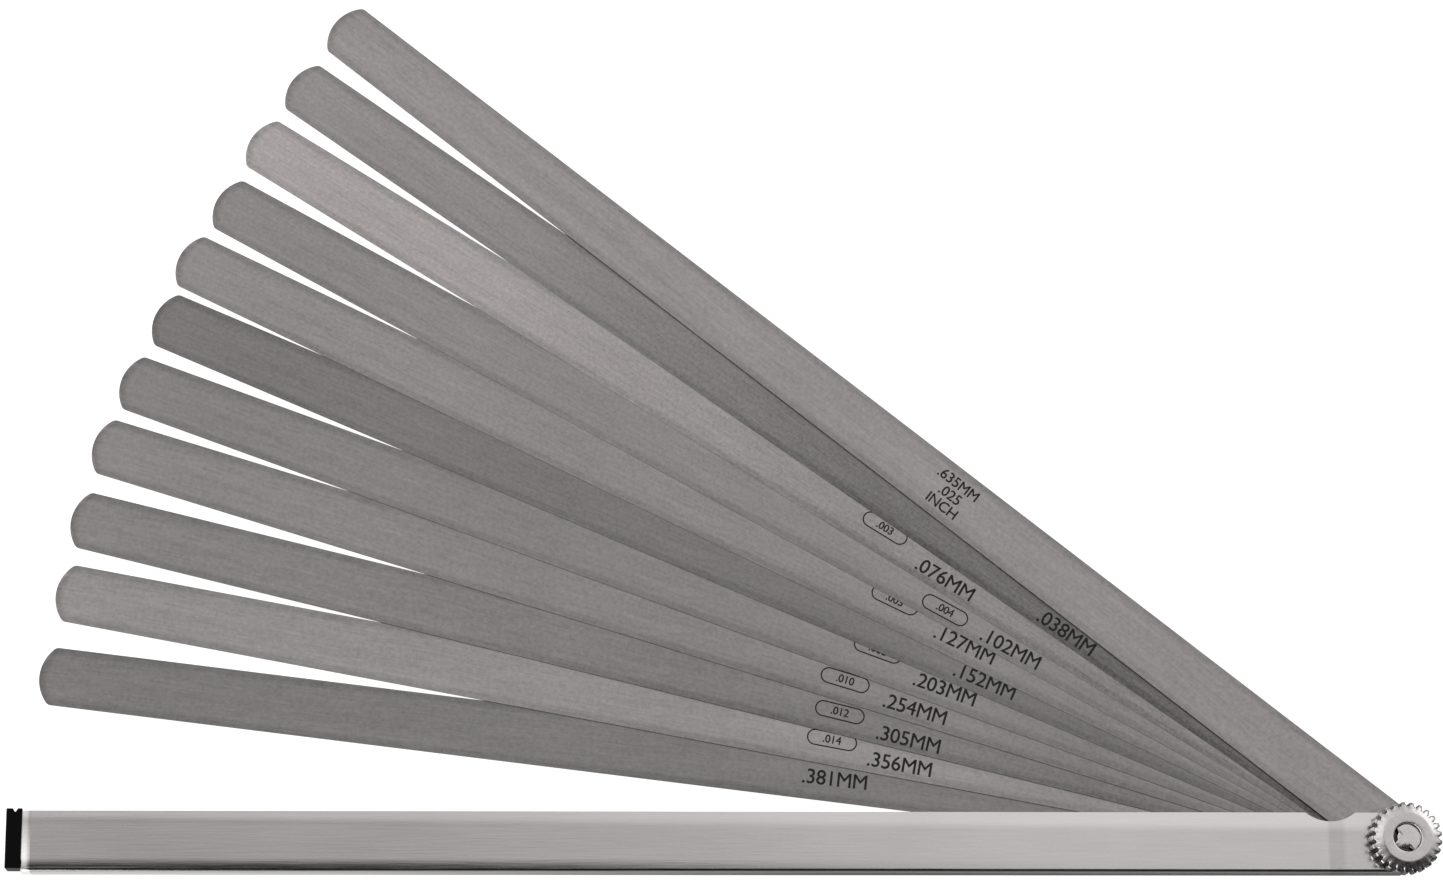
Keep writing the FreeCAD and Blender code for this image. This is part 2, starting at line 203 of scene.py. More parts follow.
def leaf_steel(name, grey, reach, warmth, fade):
    """Ground spring steel: lengthwise grinding, a sandy mottling, rims darkened by painted shade for
    their rounding, and a slow darkening towards the stud."""
    nodes = Nodes(name)
    place = nodes.add("TexCoord")
    apart = nodes.add("SeparateXYZ")
    nodes.join(place, apart, "Vector", out="Object")
    grain = nodes.spread(nodes.stretched_noise(place, (0.06, 1.0, 1.0), 2.2), -1.0, 1.0)
    sand = nodes.spread(nodes.stretched_noise(place, (1.0, 1.0, 1.0), 1.1, 3.0, 0.8), -1.0, 1.0)
    patches = nodes.spread(nodes.stretched_noise(place, (0.02, 0.2, 1.0), 1.0, 2.0), -1.0, 1.0)
    tone = nodes.scaled(grain, 0.09, 1.0)
    tone = nodes.layered(tone, (sand, 0.13), (patches, 0.07))
    # The rims: painted shade for their rounding, darker towards the sides and towards the tip.
    aside = nodes.math("ABSOLUTE", nodes.math("MULTIPLY", apart.outputs["Y"], 1 / MM))
    rim = nodes.eased(aside, *RIM_SHADE_SIDES)
    flat = nodes.add("CombineXYZ")
    nodes.join(apart.outputs["X"], flat, "X")
    nodes.join(apart.outputs["Y"], flat, "Y")
    middle = nodes.add("VectorMath", operation="DISTANCE")
    nodes.join(flat, middle, 0)
    middle.inputs[1].default_value = (-(reach - TIP_RADIUS) * MM, 0.0, 0.0)
    start, stop, least, most = RIM_SHADE_TIP
    end = nodes.eased(
        middle.outputs["Value"], (TIP_RADIUS + start) * MM, (TIP_RADIUS + stop) * MM, least, most
    )
    beyond = nodes.math("LESS_THAN", apart.outputs["X"], -(reach - TIP_RADIUS) * MM)
    end = nodes.math("MULTIPLY", end, beyond)
    tone = nodes.math("SUBTRACT", tone, nodes.math("MAXIMUM", rim, end))
    along = nodes.eased(apart.outputs["X"], -reach * MM, -90 * MM, 0.0, fade)
    tone = nodes.math("SUBTRACT", tone, along)
    nodes.tinted(warm(linear(grey) * LEAF_GAIN, warmth), tone)
    nodes.shader.inputs["Metallic"].default_value = 1.0
    nodes.join(nodes.scaled(grain, 0.05, LEAF_ROUGHNESS), nodes.shader, "Roughness")
    nodes.bump(nodes.math("ADD", grain, nodes.math("MULTIPLY", sand, 0.6)), 0.004 * MM, 0.5)
    return nodes.material


def etched_ink(name, grey):
    """The etched marks: dull, dark and a little uneven."""
    nodes = Nodes(name)
    place = nodes.add("TexCoord")
    uneven = nodes.spread(nodes.stretched_noise(place, (1.0, 1.0, 1.0), 1.2), 0.6, 1.4)
    level = linear(grey)
    nodes.tinted((level, level * 0.98, level * 0.97), uneven)
    nodes.shader.inputs["Metallic"].default_value = 0.3
    nodes.shader.inputs["Roughness"].default_value = 0.75
    nodes.shader.inputs["Specular IOR Level"].default_value = 0.2
    return nodes.material


def case_steel(name, end):
    """The case's satin nickel: lengthwise brushing, soft clouding, a painted reflection along the open
    edge.
    """
    nodes = Nodes(name)
    place = nodes.add("TexCoord")
    apart = nodes.add("SeparateXYZ")
    nodes.join(place, apart, "Vector", out="Object")
    grain = nodes.spread(nodes.stretched_noise(place, (0.03, 1.0, 1.0), 3.0), -1.0, 1.0)
    speckle = nodes.spread(nodes.stretched_noise(place, (1.0, 1.0, 1.0), 2.4, 4.0, 0.7), -1.0, 1.0)
    clouds = nodes.spread(nodes.stretched_noise(place, (0.03, 0.1, 0.1), 1.0, 2.0), -1.0, 1.0)
    x = nodes.math("MULTIPLY", apart.outputs["X"], 1 / MM)
    y = nodes.math("MULTIPLY", apart.outputs["Y"], 1 / MM)
    # Paler towards the stud, with a painted reflection as a band beside the open edge, which widens
    # that way and has a painted shaded line along it at the far end.
    raised = nodes.math("SUBTRACT", y, nodes.ranged(x, *REFLECTION_BAND_START))
    painted_sheen = nodes.eased(raised, -1.1, 1.1, 0.0, 1.0)
    shade = nodes.math("SUBTRACT", 1.0, nodes.math("ABSOLUTE", nodes.math("ADD", raised, 0.5)))
    shade = nodes.math("MAXIMUM", shade, 0.0)
    shade = nodes.math("MULTIPLY", shade, nodes.eased(x, *REFLECTION_BAND_SHADE))
    tone = nodes.layered(
        nodes.eased(x, *CASE_TONE),
        (painted_sheen, 0.26), (shade, -0.09), (grain, 0.035), (speckle, 0.035), (clouds, 0.03),
    )
    # The end of the wall, where it is pressed down to the cap, gets a painted highlight.
    painted_highlight = nodes.math("LESS_THAN", x, end + PRESSED_LENGTH)
    tone = nodes.layered(tone, (painted_highlight, nodes.eased(y, *END_HIGHLIGHT)))
    # The band from the crease to the nut is a little darker: painted shade for the wall's kink.
    crease_shade = nodes.eased(x, CREASE[0], CREASE[0] + 0.9, 0.0, 1.0)
    back = nodes.eased(x, CREASE[1] - 0.6, CREASE[1] + 0.9, 0.0, 0.7)
    tone = nodes.layered(tone, (nodes.math("SUBTRACT", crease_shade, back), -0.16))
    nodes.tinted(warm(linear(190) * CASE_GAIN), tone)
    nodes.shader.inputs["Metallic"].default_value = 1.0
    nodes.join(nodes.scaled(grain, 0.03, CASE_ROUGHNESS), nodes.shader, "Roughness")
    nodes.bump(nodes.math("ADD", grain, nodes.math("MULTIPLY", speckle, 0.5)), 0.004 * MM, 0.5)
    return nodes.material


def plain_metal(name, grey, rough, scale=1.5, wear=0.06, bump=0.003, flute_shade=None):
    """A small metal piece: turned or plated, with a fine uneven surface. The last argument gives
    painted shade in a knurl's flutes: the radii between which they darken, and the height they end at."""
    nodes = Nodes(name)
    place = nodes.add("TexCoord")
    fine = nodes.spread(nodes.stretched_noise(place, (1.0, 1.0, 1.0), scale, 4.0, 0.6), -1.0, 1.0)
    tone = nodes.scaled(fine, wear, 1.0)
    # Painted shade in the knurl's flutes, darkest between the lobes.
    if flute_shade:
        apart = nodes.add("SeparateXYZ")
        nodes.join(place, apart, "Vector", out="Object")
        aside = [nodes.math("POWER", apart.outputs[axis], 2.0) for axis in "XY"]
        radius = nodes.math("SQRT", nodes.math("ADD", *aside))
        dark = nodes.eased(radius, flute_shade[0] * MM, flute_shade[1] * MM, 0.85, 0.0)
        knurl = nodes.math("LESS_THAN", apart.outputs["Z"], flute_shade[2] * MM)
        dark = nodes.math("MULTIPLY", dark, knurl)
        tone = nodes.math("MULTIPLY", tone, nodes.math("SUBTRACT", 1.0, dark))
    nodes.tinted(warm(linear(grey)), tone)
    nodes.shader.inputs["Metallic"].default_value = 1.0
    nodes.join(nodes.scaled(fine, 0.05, rough), nodes.shader, "Roughness")
    nodes.bump(fine, bump * MM, 0.6)
    return nodes.material


def cap_plastic(name):
    """Moulded black plastic with a faint texture."""
    nodes = Nodes(name)
    place = nodes.add("TexCoord")
    fine = nodes.spread(nodes.stretched_noise(place, (1.0, 1.0, 1.0), 4.0, 3.0), 0.7, 1.3)
    nodes.tinted((0.003, 0.003, 0.003), fine)
    nodes.shader.inputs["Roughness"].default_value = 0.45
    nodes.shader.inputs["Specular IOR Level"].default_value = 0.08
    nodes.bump(fine, 0.006 * MM, 0.6)
    return nodes.material


# ---------------------------------------------------------------- mesh helpers

def new_object(name, bm, materials):
    """An object from a bmesh in millimetres."""
    bmesh.ops.recalc_face_normals(bm, faces=bm.faces)
    mesh = bpy.data.meshes.new(name)
    bm.to_mesh(mesh)
    bm.free()
    for material in materials:
        mesh.materials.append(material)
    obj = bpy.data.objects.new(name, mesh)
    bpy.context.scene.collection.objects.link(obj)
    return obj


def baked(obj):
    """Put an object's modifiers into its mesh."""
    bpy.context.view_layer.update()
    shape = obj.evaluated_get(bpy.context.evaluated_depsgraph_get())
    mesh = bpy.data.meshes.new_from_object(shape)
    obj.modifiers.clear()
    old = obj.data
    obj.data = mesh
    bpy.data.meshes.remove(old)


def finished(obj, angle=30.0):
    """Bring a piece from millimetres to metres and shade it smooth between its sharp edges."""
    obj.data.transform(Matrix.Scale(MM, 4))
    obj.data.shade_smooth()
    obj.data.set_sharp_from_angle(angle=math.radians(angle))
    weighted = obj.modifiers.new("flats", "WEIGHTED_NORMAL")
    weighted.keep_sharp = True
    weighted.weight = 100
    baked(obj)


def turned(bm, profile, steps, radius_at=None, height_at=None, first=0):
    """Rings of vertices about Z, one for each (radius, height) point of a profile. radius_at
    and height_at change a point by its number and its angle."""
    rings = []
    for index, (radius, height) in enumerate(profile, start=first):
        ring = []
        for step in range(steps):
            angle = 2 * math.pi * step / steps
            r = radius_at(index, radius, angle) if radius_at else radius
            z = height_at(index, height, angle) if height_at else height
            ring.append(bm.verts.new((r * math.cos(angle), r * math.sin(angle), z)))
        rings.append(ring)
    return rings


def skin(bm, here, there):
    """The faces between two rings."""
    count = len(here)
    for step in range(count):
        after = (step + 1) % count
        bm.faces.new((here[step], here[after], there[after], there[step]))


def lathe(name, profile, material, steps, radius_at=None):
    """A closed ring turned about Z from (radius, height) points that go round its section."""
    bm = bmesh.new()
    rings = turned(bm, profile, steps, radius_at)
    for here, there in zip(rings, rings[1:] + rings[:1]):
        skin(bm, here, there)
    return new_object(name, bm, [material])


def solid_lathe(name, profile, material, steps, radius_at, height_at):
    """A solid turned about Z: its first and last points are on the axis."""
    bm = bmesh.new()
    bottom = bm.verts.new((0.0, 0.0, profile[0][1]))
    rings = turned(bm, profile[1:-1], steps, radius_at, height_at, first=1)
    top = bm.verts.new((0.0, 0.0, profile[-1][1]))
    for here, there in zip(rings, rings[1:]):
        skin(bm, here, there)
    for step in range(steps):
        after = (step + 1) % steps
        bm.faces.new((bottom, rings[0][after], rings[0][step]))
        bm.faces.new((top, rings[-1][step], rings[-1][after]))
    return new_object(name, bm, [material])


# ---------------------------------------------------------------- the leaves

LEAF_WIDTH = 12.7
TIP_RADIUS = 8.7
TIP_CORNER_RADIUS = 1.6
LEAF_BORE_RADIUS = 2.55
LEAF_EASE = 0.17
LEAF_GAIN = 1.69
LEAF_ROUGHNESS = 0.36
# Where a leaf's painted rim shade starts and ends, and how dark it is at both: from the middle line,
# and from the tip's circle.
RIM_SHADE_SIDES = (4.3, 5.5, 0.0, 0.17)
RIM_SHADE_TIP = (-2.2, 0.1, 0.0, 0.32)
LABEL_SIZE = 4.6
OVAL_TEXT_SIZE = 2.5
MARK_DEPTH = 0.02
MARK_PROUD = 0.003
MARK_WEIGHT = 0.05

# Each leaf from the top: its grey, painted lighter or darker for how the light falls on that leaf, its
# warmth and how much it darkens towards the stud.
LEAF_SHADE_AND_TINT = {
    "leaf_01_635": (140, 0.012, 0.0),
    "leaf_02_038": (138, 0.004, 0.42),
    "leaf_03_076": (158, 0.026, 0.3),
    "leaf_04_102": (133, 0.004, 0.0),
    "leaf_05_127": (137, 0.004, 0.06),
    "leaf_06_152": (119, 0.004, 0.03),
    "leaf_07_203": (129, 0.002, -0.04),
    "leaf_08_254": (134, 0.006, 0.05),
    "leaf_09_305": (131, 0.004, 0.13),
    "leaf_10_356": (144, 0.006, 0.0),
    "leaf_11_381": (125, 0.002, 0.02),
}
# Each leaf's marks: the text, how far along from the stud and aside from the middle, its size.
LEAF_MARKS = {
    "leaf_01_635": [
        (".635MM", 124.0, 2.9, 3.4), (".025", 124.0, -0.2, 3.4), ("INCH", 124.0, -3.3, 3.4),
    ],
    "leaf_02_038": [(".038MM", 85.5, -4.0, LABEL_SIZE)],
    "leaf_03_076": [(".076MM", 114.4, -3.4, LABEL_SIZE)],
    "leaf_04_102": [(".102MM", 94.5, -3.9, LABEL_SIZE)],
    "leaf_05_127": [(".127MM", 104.0, -2.6, LABEL_SIZE)],
    "leaf_06_152": [(".152MM", 96.9, -3.3, LABEL_SIZE)],
    "leaf_07_203": [(".203MM", 104.6, -2.7, LABEL_SIZE)],
    "leaf_08_254": [(".254MM", 109.6, -3.4, LABEL_SIZE)],
    "leaf_09_305": [(".305MM", 109.5, -3.9, LABEL_SIZE)],
    "leaf_10_356": [(".356MM", 110.5, -3.5, LABEL_SIZE)],
    "leaf_11_381": [(".381MM", 124.2, -1.5, LABEL_SIZE)],
}
# The oval beside the size, with the size in inches: the text and its place.
OVAL_LENGTH = 11.0
OVAL_HEIGHT = 3.5
OVAL_LINE = 0.2
LEAF_OVALS = {
    "leaf_03_076": (".003", 131.6, -0.5),
    "leaf_04_102": (".004", 111.2, -3.2),
    "leaf_05_127": (".005", 122.1, -0.2),
    "leaf_07_203": (".008", 121.3, 0.6),
    "leaf_08_254": (".010", 126.1, -1.6),
    "leaf_09_305": (".012", 125.5, -1.5),
    "leaf_10_356": (".014", 126.0, -0.8),
}


def arc_points(centre, radius, start, end, steps):
    """Points round an arc, between two angles in degrees."""
    points = []
    for step in range(steps + 1):
        angle = math.radians(start + (end - start) * step / steps)
        points.append((centre[0] + radius * math.cos(angle), centre[1] + radius * math.sin(angle)))
    return points


def leaf_outline(reach):
    """A leaf's outline, from its round butt along one side, round the tip and back."""
    half = LEAF_WIDTH / 2
    tip = -(reach - TIP_RADIUS)
    aside = half - TIP_CORNER_RADIUS
    back = math.sqrt((TIP_RADIUS - TIP_CORNER_RADIUS) ** 2 - aside ** 2)
    turn = math.degrees(math.atan2(aside, back))
    points = arc_points((0.0, 0.0), half, -90, 90, 32)
    points += arc_points((tip - back, aside), TIP_CORNER_RADIUS, 90, 180 - turn, 8)
    points += arc_points((tip, 0.0), TIP_RADIUS, 180 - turn, 180 + turn, 28)[1:-1]
    points += arc_points((tip - back, -aside), TIP_CORNER_RADIUS, 180 + turn, 270, 8)
    return points


def loop_edges(bm, points):
    """The edges of a closed loop through points on the ground."""
    verts = [bm.verts.new((x, y, 0.0)) for x, y in points]
    return [bm.edges.new((a, b)) for a, b in zip(verts, verts[1:] + verts[:1])]


def leaf_blank(name, reach, thickness, steel, ink):
    """The plain leaf: outline and bore, with its rims eased."""
    bm = bmesh.new()
    bore = arc_points((0.0, 0.0), LEAF_BORE_RADIUS, 0, 360, 40)[:-1]
    edges = loop_edges(bm, leaf_outline(reach)) + loop_edges(bm, bore)
    bmesh.ops.triangle_fill(bm, edges=edges, use_beauty=True)
    raised = bmesh.ops.extrude_face_region(bm, geom=list(bm.faces))
    tops = [item for item in raised["geom"] if isinstance(item, bmesh.types.BMVert)]
    bmesh.ops.translate(bm, verts=tops, vec=(0.0, 0.0, thickness))
    bmesh.ops.recalc_face_normals(bm, faces=bm.faces)
    rims = [
        edge for edge in bm.edges
        if len(edge.link_faces) == 2 and edge.calc_face_angle(0.0) > math.radians(60)
    ]
    ease = min(LEAF_EASE, 0.3 * thickness)
    bmesh.ops.bevel(
        bm, geom=rims, offset=ease, segments=2, profile=0.5, affect="EDGES", clamp_overlap=True
    )
    return new_object(name, bm, [steel, ink])


def word_mesh(text, along, aside, size, top, depth):
    """A word as closed, dark metal let into a leaf's face."""
    curve = bpy.data.curves.new("mark", "FONT")
    curve.body = text
    curve.size = size
    curve.align_x = "CENTER"
    curve.align_y = "CENTER"
    curve.extrude = depth / 2
    curve.resolution_u = 3
    curve.space_character = 0.96
    holder = bpy.data.objects.new("mark", curve)
    bpy.context.scene.collection.objects.link(holder)
    bpy.context.view_layer.update()
    shape = holder.evaluated_get(bpy.context.evaluated_depsgraph_get())
    mesh = bpy.data.meshes.new_from_object(shape)
    bpy.data.objects.remove(holder)
    bpy.data.curves.remove(curve)
    mesh.transform(Matrix.Translation((-along, aside, top + MARK_PROUD - depth / 2)))
    return mesh


def oval_mesh(along, aside, top, depth):
    """An oval outline as a closed band let into a leaf's face."""
    bm = bmesh.new()
    straight = (OVAL_LENGTH - OVAL_HEIGHT) / 2
    loops = []
    for height in (top + MARK_PROUD - depth, top + MARK_PROUD):
        for radius in (OVAL_HEIGHT / 2, OVAL_HEIGHT / 2 - OVAL_LINE):
            points = arc_points((straight, 0.0), radius, -90, 90, 12)
            points += arc_points((-straight, 0.0), radius, 90, 270, 12)
            points = [(x - along, y + aside) for x, y in points]
            loops.append([bm.verts.new((x, y, height)) for x, y in points])
    for first, second in ((0, 1), (1, 3), (3, 2), (2, 0)):
        skin(bm, loops[first], loops[second])
    bmesh.ops.recalc_face_normals(bm, faces=bm.faces)
    mesh = bpy.data.meshes.new("oval")
    bm.to_mesh(mesh)
    bm.free()
    return mesh


def etch(leaf, node, thickness):
    """Let a leaf's marks into its face, in the leaf's second material."""
    depth = MARK_PROUD + min(MARK_DEPTH, 0.3 * thickness)
    meshes = [word_mesh(*mark, thickness, depth) for mark in LEAF_MARKS[node]]
    if node in LEAF_OVALS:
        text, along, aside = LEAF_OVALS[node]
        meshes.append(oval_mesh(along, aside, thickness, depth))
        meshes.append(word_mesh(text, along, aside, OVAL_TEXT_SIZE, thickness, depth))
    bm = bmesh.new()
    for mesh in meshes:
        bm.from_mesh(mesh)
        bpy.data.meshes.remove(mesh)
    bmesh.ops.remove_doubles(bm, verts=bm.verts, dist=0.0005)
    bm.normal_update()
    pushes = {}
    for vertex in bm.verts:
        sides = [face.normal for face in vertex.link_faces if abs(face.normal.z) < 0.5]
        pushes[vertex] = sum(sides, Vector()).normalized() * MARK_WEIGHT
    for vertex, push in pushes.items():
        vertex.co += push
    for face in bm.faces:
        face.material_index = 1
    bm.from_mesh(leaf.data)
    bm.to_mesh(leaf.data)
    bm.free()


def make_leaf(node, angle, ink):
    """One leaf, built along -X about the stud and turned out to its own angle."""
    low, high = low_high(node)
    thickness = high.z - low.z
    reach = max(
        math.hypot(vertex.co.x, vertex.co.y) for vertex in frame["nodes"][node].data.vertices
    ) / MM
    grey, warmth, fade = LEAF_SHADE_AND_TINT[node]
    steel = leaf_steel(f"ground_steel_{node[5:]}", grey, reach, warmth, fade)
    leaf = leaf_blank(f"blade_{node[5:]}", reach, thickness, steel, ink)
    etch(leaf, node, thickness)
    finished(leaf)
    leaf.location = (0.0, 0.0, low.z * MM)
    leaf.rotation_euler = (0.0, 0.0, -math.radians(angle))
    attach(leaf, node)
    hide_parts(node)


# ---------------------------------------------------------------- the lock nut and the stud

KNURL_TEETH = 25
KNURL_DEPTH = 0.75
NUT_BEVEL = 0.95
# The staked end's lobes: where the middle is, how far it is full on both sides, and how fast
# it falls, in degrees.
STAKED_LOBES = ((36, 98, 14), (218, 12, 12))
STAKED_HEIGHT = 0.55
STAKED_REACH = 0.69
STAKED_DIP = 0.22
STUD_NECK = 5.1
THREAD_PITCH = 0.7
THREAD_ROOT, THREAD_CREST = 1.66, 1.97


def widest(node):
    """How far a CAD node reaches from the stud's axis, in millimetres."""
    points = (vertex.co for vertex in frame["nodes"][node].data.vertices)
    return max(math.hypot(point.x, point.y) for point in points) / MM


def make_nut():
    """The lock nut: a rim of rounded lobes, a bevel, a bright face and an eased recess."""
    low, high = low_high("knurled_nut")
    base, face = low.z, high.z
    outer = widest("knurled_nut")
    shoulder = face - NUT_BEVEL
    profile = [
        (2.1, base), (5.4, base), (6.9, base + 0.02), (outer - 0.35, base + 0.08),
        (outer - 0.08, base + 0.32), (outer, base + 0.6), (outer, shoulder - 0.5),
        (outer, shoulder - 0.12), (outer - 0.1, shoulder + 0.02), (outer - 0.4, shoulder + 0.15),
        (outer - 0.8, shoulder + 0.3), (outer - 1.6, shoulder + 0.61), (5.5, face - 0.08),
        (5.25, face - 0.01), (5.05, face), (4.3, face), (3.9, face - 0.012),
        (3.4, face - 0.035), (3.22, face - 0.07), (3.12, face - 0.15), (3.08, face - 0.3),
        (3.08, face - 1.86), (3.0, face - 1.9), (2.1, face - 1.9),
    ]
    share = [0.0] * len(profile)
    for index in (4, 5, 6, 7, 8):
        share[index] = 1.0
    share[3], share[9], share[10] = 0.6, 0.7, 0.2

    def knurled(index, radius, angle):
        """A rounded flute between rounded lobes."""
        turn = (KNURL_TEETH * angle / (2 * math.pi) + 0.5) % 1.0 - 0.5
        flute = max(0.0, 1.0 - (abs(turn) / 0.3) ** 2.0)
        crown = 0.05 * math.cos(2 * math.pi * turn)
        return radius - share[index] * (KNURL_DEPTH * flute ** 0.8 + 0.05 + crown)

    # Painted shade in the flutes of the knurl.
    flute_shade = (outer - 0.62, outer - 0.16, shoulder + 0.2)
    steel = plain_metal("bright_nickel", 222, 0.27, 0.9, 0.1, 0.012, flute_shade)
    nut = lathe("lock_nut", profile, steel, KNURL_TEETH * 20, knurled)
    finished(nut, 42)
    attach(nut, "nut")
    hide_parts("knurled_nut")


def make_stud():
    """The stud: flush rivet, shoulder, threaded length, and an end staked over in lobes."""
    low, high = low_high("pivot_stud")
    top = high.z
    flare = top - STAKED_HEIGHT
    neck = STUD_NECK
    profile = [(0.0, 0.0), (2.9, 0.0), (3.4, 0.015), (2.05, 0.5), (2.05, 0.6), (2.42, 0.6), (2.5, 0.7)]
    profile += [(2.5, neck - 0.08), (2.42, neck), (1.95, neck)]
    for step in range(int((flare - neck - 0.2) / THREAD_PITCH * 2)):
        height = neck + 0.15 + step * THREAD_PITCH / 2
        profile.append((THREAD_CREST if step % 2 else THREAD_ROOT, height))
    flare_at = len(profile)
    profile += [(1.95, flare), (2.2, flare + 0.12), (2.3, flare + 0.3), (2.26, top - 0.05),
                (2.14, top - 0.008), (1.4, top - 0.02), (0.7, top - 0.05), (0.0, top - 0.06)]

    def lobe(angle):
        """How far the staked metal is spread: wide over one side, with one narrow lobe."""
        degrees = math.degrees(angle) % 360
        shares = [0.0]
        for middle, half, fall in STAKED_LOBES:
            away = abs((degrees - middle + 180) % 360 - 180)
            shares.append(1.0 - max(0.0, away - half) / fall)
        return max(shares)

    def spread(index, radius, angle):
        """The staked metal's reach, with a slight ripple."""
        if flare_at < index < flare_at + 5:
            ripple = 0.05 * math.sin(5 * angle + 0.7) + 0.03 * math.sin(11 * angle)
            full = lobe(angle)
            return radius + (STAKED_REACH + ripple) * full - STAKED_DIP * (1 - full)
        return radius

    def sag(index, height, angle):
        """The staked end's rim, lower between the lobes."""
        if index in (flare_at + 3, flare_at + 4):
            return height - 0.1 * (1 - lobe(angle)) - 0.03 * (1 + math.sin(3 * angle))
        return height

    steel = plain_metal("stud_steel", 228, 0.24, scale=1.1, wear=0.08, bump=0.012)
    stud = solid_lathe("staked_stud", profile, steel, 120, spread, sag)
    finished(stud, 40)
    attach(stud, "frame")
    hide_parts("pivot_stud")


RING_EASE = 0.08


def make_ring(name, node, body):
    """A flat washer or spacer with eased edges."""
    low, high = low_high(node)
    bore = min(
        math.hypot(vertex.co.x, vertex.co.y) for vertex in frame["nodes"][node].data.vertices
    ) / MM
    outer, base, top = high.x, low.z, high.z
    ease = RING_EASE
    profile = [
        (bore + ease, base), (outer - ease, base), (outer, base + ease), (outer, top - ease),
        (outer - ease, top), (bore + ease, top), (bore, top - ease), (bore, base + ease),
    ]
    steel = plain_metal(f"{name}_steel", 190, 0.34)
    ring = lathe(name, profile, steel, 72)
    finished(ring, 50)
    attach(ring, body)
    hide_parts(node)


# ---------------------------------------------------------------- the case and its cap

CASE_GAIN = 1.5
CASE_ROUGHNESS = 0.18
# Its tones: where a change starts and ends in millimetres, and the values at both.
CASE_TONE = (-300.0, -20.0, 0.72, 0.94)
# The band along the open edge is a painted reflection, and its shaded line is painted shade.
REFLECTION_BAND_START = (-290.0, -20.0, 4.6, 2.6)
REFLECTION_BAND_SHADE = (-270.0, -150.0, 1.0, 0.0)
# The painted highlight on the pressed end: where it starts and ends across the wall, and its strength.
END_HIGHLIGHT = (4.6, -4.0, -0.1, 0.5)
EDGE_EASE = 0.1
CAP_EASE = 0.14
CREASE = (-16.7, -12.9)
CREASE_DROP = 0.14
PRESSED_DROP = 0.3
PRESSED_LENGTH = 1.9
BEND_RADIUS = 0.95
ROLL_DROP = (0.05, 0.09)


def cad_copy(node):
    """A CAD node's shape as a clean bmesh in millimetres."""
    bm = bmesh.new()
    bm.from_mesh(frame["nodes"][node].data)
    bmesh.ops.scale(bm, vec=(1 / MM,) * 3, verts=bm.verts)
    bmesh.ops.remove_doubles(bm, verts=bm.verts, dist=0.002)
    bmesh.ops.dissolve_limit(bm, angle_limit=math.radians(0.5), verts=bm.verts, edges=bm.edges)
    return bm


def ease_edges(obj, width, segments, angle):
    """Round off a piece's sharp edges."""
    ease = obj.modifiers.new("ease", "BEVEL")
    ease.width = width
    ease.segments = segments
    ease.limit_method = "ANGLE"
    ease.angle_limit = math.radians(angle)
    ease.use_clamp_overlap = True
    baked(obj)


def ramp(x, start, end):
    """0 at start, 1 at end, smooth between."""
    share = min(1.0, max(0.0, (x - start) / (end - start)))
    return share * share * (3 - 2 * share)


def cut_across(bm, axis, place):
    """Cut every face where an axis reaches a place, so that the mesh can bend there."""
    bmesh.ops.bisect_plane(
        bm, geom=list(bm.verts) + list(bm.edges) + list(bm.faces), plane_co=axis * place, plane_no=axis
    )


def make_case():
    """The folded case: its front wall a little proud up to a crease beside the stud, and
    pressed down at its far end."""
    low, high = low_high("case")
    front, end, bend = high.z, low.x, low.y + BEND_RADIUS
    bm = cad_copy("case")
    cuts = [end + 0.25 * step for step in range(1, 9)]
    cuts += [CREASE[0] + (CREASE[1] - CREASE[0]) * step / 6 for step in range(7)]
    cuts += [-20.0 * step for step in range(1, 15)]
    rolled = [bend + 0.35 * step for step in range(7)]
    for place in cuts:
        cut_across(bm, Vector((1.0, 0.0, 0.0)), place)
    for place in rolled:
        cut_across(bm, Vector((0.0, 1.0, 0.0)), place)
    for vertex in bm.verts:
        if vertex.co.z > front - 1.0:
            x = vertex.co.x
            roll = min(1.0, max(0.0, (rolled[-1] - vertex.co.y) / (rolled[-1] - bend)))
            drop = (ROLL_DROP[0] + ROLL_DROP[1] * ramp(-x, 90.0, 230.0)) * ramp(-x, 0.0, 24.0)
            fallen = CREASE_DROP * ramp(x, *CREASE)
            pressed = PRESSED_DROP * (1.0 - ramp(x, end - 0.6, end + PRESSED_LENGTH))
            vertex.co.z -= drop * roll ** 2 + fallen + pressed
    case = new_object("folded_case", bm, [case_steel("satin_nickel", end)])
    ease_edges(case, EDGE_EASE, 2, 50)
    finished(case, 35)
    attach(case, "frame")
    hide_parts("case")


def make_cap():
    """The moulded cap that closes the case's far end."""
    cap = new_object("moulded_cap", cad_copy("end_cap"), [cap_plastic("black_plastic")])
    ease_edges(cap, CAP_EASE, 3, 40)
    finished(cap, 35)
    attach(cap, "frame")
    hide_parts("end_cap")


# ---------------------------------------------------------------- studio

# How much the floor lights the steel: from where to where, and how much at both.
FLOOR_GLOW = (-300.0, -110.0, 0.65, 0.0)


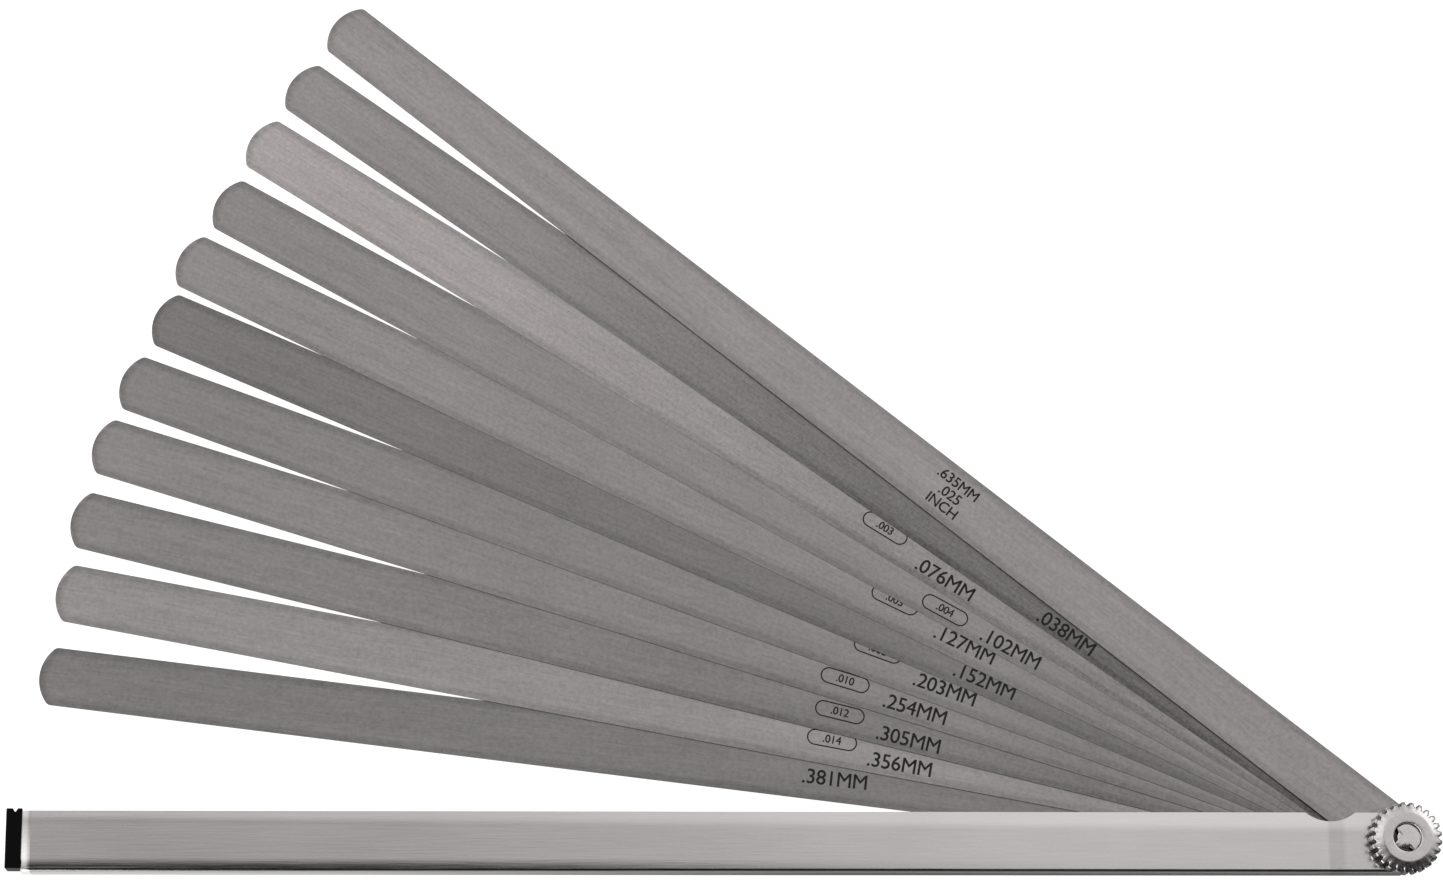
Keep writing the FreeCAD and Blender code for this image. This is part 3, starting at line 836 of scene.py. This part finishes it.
def add_floor():
    """The plain white floor. It lights the steel above it more on the left."""
    bm = bmesh.new()
    bmesh.ops.create_grid(bm, x_segments=1, y_segments=1, size=4.0)
    nodes = Nodes("paper")
    nodes.shader.inputs["Base Color"].default_value = (0.45, 0.45, 0.45, 1.0)
    nodes.shader.inputs["Roughness"].default_value = 0.9
    nodes.shader.inputs["Specular IOR Level"].default_value = 0.1
    nodes.shader.inputs["Emission Color"].default_value = (1.0, 1.0, 1.0, 1.0)
    place = nodes.add("NewGeometry")
    apart = nodes.add("SeparateXYZ")
    nodes.join(place, apart, "Vector", out="Position")
    start, stop, left, right = FLOOR_GLOW
    bounced = nodes.eased(apart.outputs["X"], start * MM, stop * MM, left, right)
    path = nodes.add("LightPath")
    glow = nodes.add("Mix", data_type="FLOAT")
    nodes.join(path, glow, "Factor", out="Is Camera Ray")
    nodes.join(bounced, glow, "A")
    glow.inputs["B"].default_value = 1.0
    nodes.join(glow, nodes.shader, "Emission Strength")
    floor = new_object("floor", bm, [nodes.material])
    floor.location = (CAMERA_TARGET.x, CAMERA_TARGET.y, -0.05 * MM)


def add_light(name, size, power, place, aim=(-150, 60, 0)):
    """A soft box, placed and aimed in millimetres."""
    data = bpy.data.lights.new(name, "AREA")
    data.shape = "RECTANGLE"
    data.size, data.size_y = size[0] * MM, size[1] * MM
    data.energy = power
    light = bpy.data.objects.new(name, data)
    bpy.context.scene.collection.objects.link(light)
    light.location = Vector(place) * MM
    ray = (Vector(aim) - Vector(place)).normalized()
    light.rotation_euler = ray.to_track_quat("-Z", "Y").to_euler()


# The room: dark overhead on the front side, bright overhead at the back, pale low down, and
# brighter on the left. The dark side's edge lies further forward towards the right. Each is
# where a component of the direction changes its level, and the levels at both ends.
SKY = ((-0.1, 0.2), (0.005, 0.66))
SHIFT = ((0.0, 0.2), (0.0, 0.25))
SIDE = ((-0.22, -0.5), (0.0, 0.5))
LOW = ((0.75, 0.0), (0.0, 1.0))
HORIZON = ((-0.05, 0.2), (0.42, 0.1))


def add_studio():
    """The room's light by direction, and soft boxes at the sides."""
    world = bpy.data.worlds.new("room")
    bpy.context.scene.world = world
    world.use_nodes = True
    tree = world.node_tree
    tree.nodes.clear()
    output = tree.nodes.new("ShaderNodeOutputWorld")
    back = tree.nodes.new("ShaderNodeBackground")
    place = tree.nodes.new("ShaderNodeTexCoord")
    apart = tree.nodes.new("ShaderNodeSeparateXYZ")
    tree.links.new(place.outputs["Generated"], apart.inputs["Vector"])

    def level(value, edge, reach):
        node = tree.nodes.new("ShaderNodeMapRange")
        node.interpolation_type = "SMOOTHSTEP"
        node.inputs["From Min"].default_value, node.inputs["From Max"].default_value = edge
        node.inputs["To Min"].default_value, node.inputs["To Max"].default_value = reach
        tree.links.new(value, node.inputs["Value"])
        return node.outputs["Result"]

    def total(first, second):
        node = tree.nodes.new("ShaderNodeMath")
        tree.links.new(first, node.inputs[0])
        tree.links.new(second, node.inputs[1])
        return node.outputs["Value"]

    across, along, up = (apart.outputs[axis] for axis in ("X", "Y", "Z"))
    overhead = level(total(along, level(across, *SHIFT)), *SKY)
    blend = tree.nodes.new("ShaderNodeMix")
    blend.data_type = "FLOAT"
    tree.links.new(level(up, *LOW), blend.inputs["Factor"])
    tree.links.new(total(overhead, level(across, *SIDE)), blend.inputs["A"])
    tree.links.new(level(across, *HORIZON), blend.inputs["B"])
    tree.links.new(blend.outputs["Result"], back.inputs["Color"])
    tree.links.new(back.outputs["Background"], output.inputs["Surface"])
    back.inputs["Strength"].default_value = 1.0
    add_light("key", (1100, 420), 4, (-850, -700, 360))
    add_light("fill", (900, 500), 1.5, (800, 700, 600))
    bpy.context.scene.view_settings.view_transform = "Standard"


def main():
    add_camera()
    ink = etched_ink("etched_mark", 52)
    for joint in frame["joints"]:
        if joint["name"].startswith("leaf_"):
            make_leaf(joint["child"], -joint["range_deg"][0], ink)
    make_nut()
    make_stud()
    make_ring("clamping_washer", "clamp_washer", "washer")
    make_ring("rear_spacer", "back_spacer", "frame")
    make_ring("fore_spacer", "front_spacer", "frame")
    make_case()
    make_cap()
    add_floor()
    add_studio()


main()
